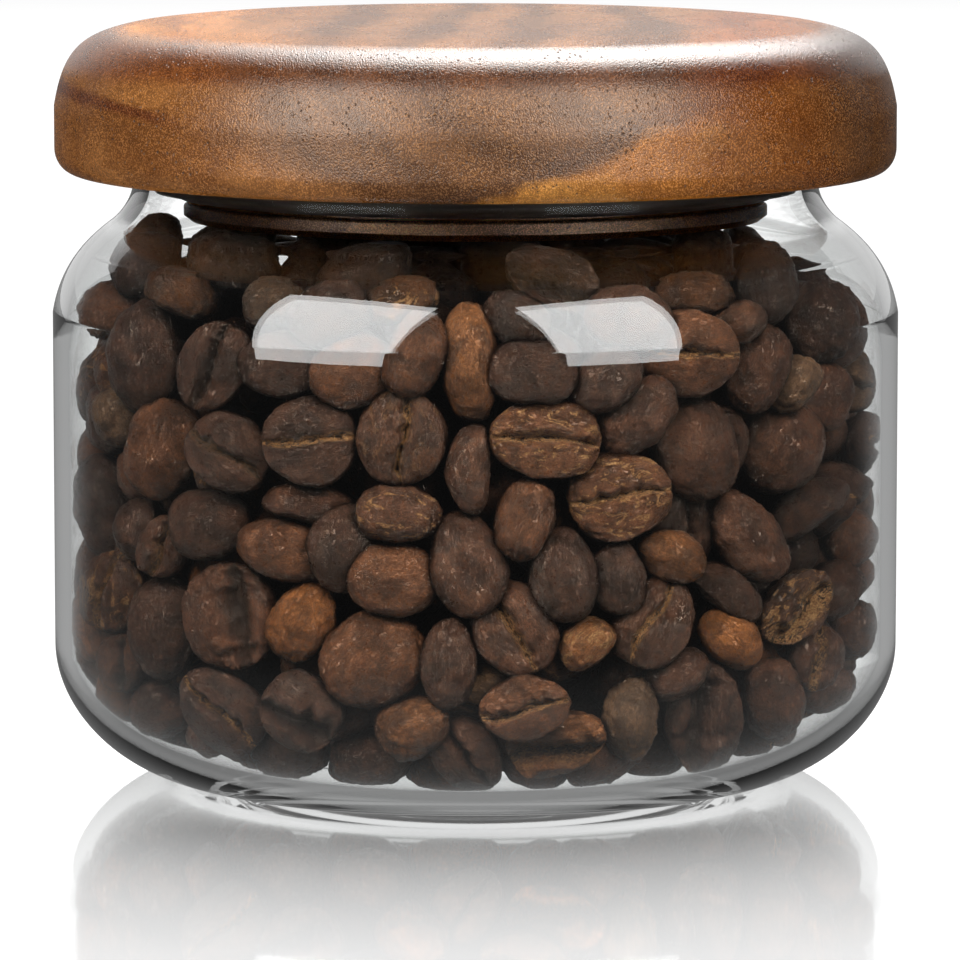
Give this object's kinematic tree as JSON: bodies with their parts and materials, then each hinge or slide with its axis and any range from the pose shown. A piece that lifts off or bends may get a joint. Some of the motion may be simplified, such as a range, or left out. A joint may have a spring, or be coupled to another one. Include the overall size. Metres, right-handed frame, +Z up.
{
  "type": "food canister",
  "caption": "Squat clear glass canister with rounded shoulders, a thick turned wooden plug lid with a silicone seal, and a fill of roasted coffee beans.",
  "frame": {"origin": "centre of the jar's standing ring, on the plane it rests on", "axes": "+Z up along the jar's axis of revolution, towards the lid; +X to the right and +Y to the back as seen from the front"},
  "size_m": [0.095, 0.095, 0.0847],
  "materials": {
    "clear_glass": "gloss",
    "acacia_wood": "satin",
    "seal_silicone": "satin",
    "roasted_beans": "satin"
  },
  "bodies": {
    "jar": {"glass_jar": "clear_glass", "coffee_bean_fill": "roasted_beans"},
    "lid": {"wood_lid": "acacia_wood", "seal_ring": "seal_silicone"}
  },
  "joints": [
    {"name": "lid_lift", "type": "slide", "parent": "jar", "child": "lid", "axis": [0, 0, 1], "range_m": [0, 0.06]}
  ]
}
